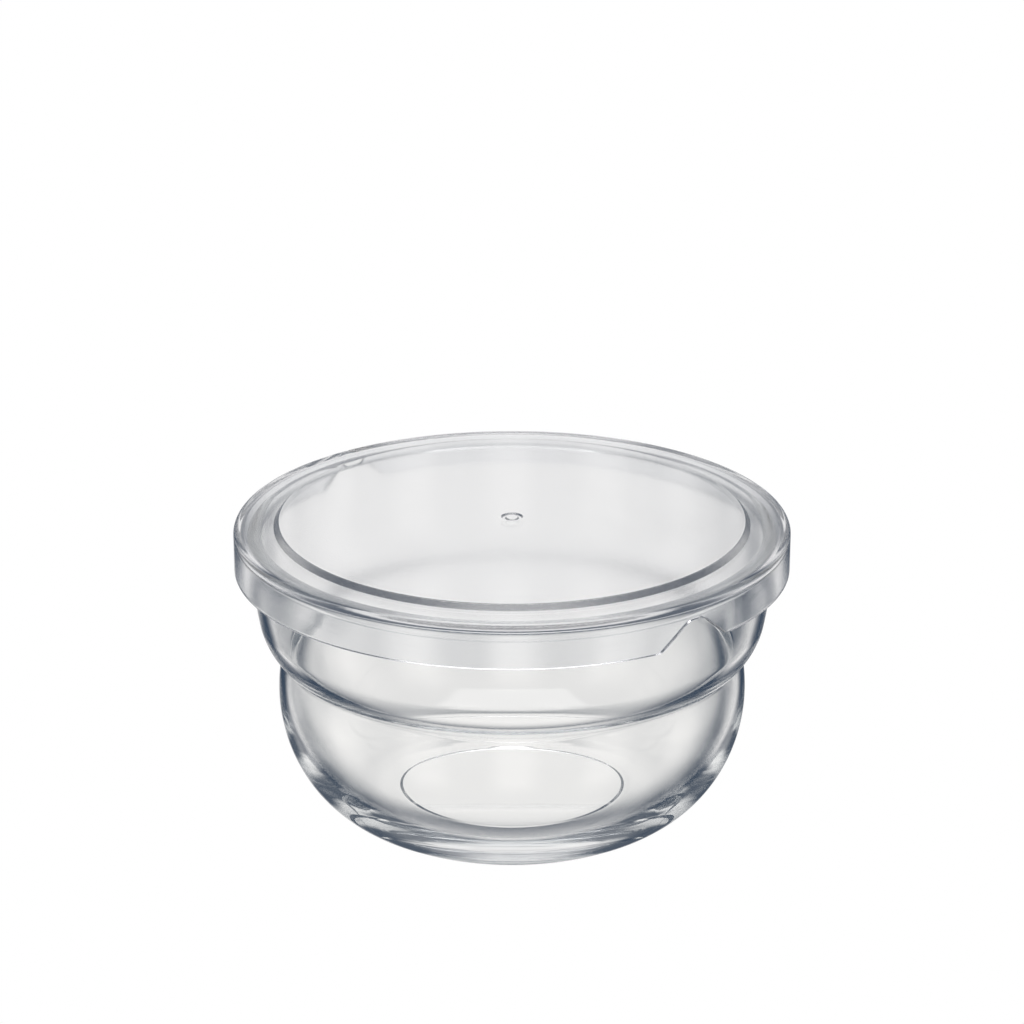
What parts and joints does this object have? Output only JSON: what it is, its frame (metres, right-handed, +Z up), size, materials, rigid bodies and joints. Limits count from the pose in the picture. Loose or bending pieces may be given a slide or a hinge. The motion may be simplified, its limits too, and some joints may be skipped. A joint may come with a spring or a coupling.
{
  "type": "glass storage container",
  "caption": "Round clear glass food storage bowl with a waist, an overhanging upper wall and a beaded rim, under a loose flat lid of clear plastic with finger notches in its skirt.",
  "frame": {"origin": "centre of the bowl's foot, on the surface it stands on", "axes": "+Z up along the bowl's axis; -Y is the front, with one finger notch of the lid to the right of it, 39 degrees from -Y towards +X, and the other opposite"},
  "size_m": [0.15, 0.15, 0.0848],
  "materials": {
    "clear_glass": "clear heat-resistant glass with a faint green edge tint, fire-polished",
    "clear_plastic": "transparent injection-moulded plastic with a faint blue tint, glossy"
  },
  "bodies": {
    "bowl": {"glass_bowl": "clear_glass"},
    "lid": {"lid": "clear_plastic"}
  },
  "joints": [
    {"name": "lid_lift", "type": "slide", "parent": "bowl", "child": "lid", "axis": [0, 0, 1], "range_m": [0, 0.06]}
  ]
}
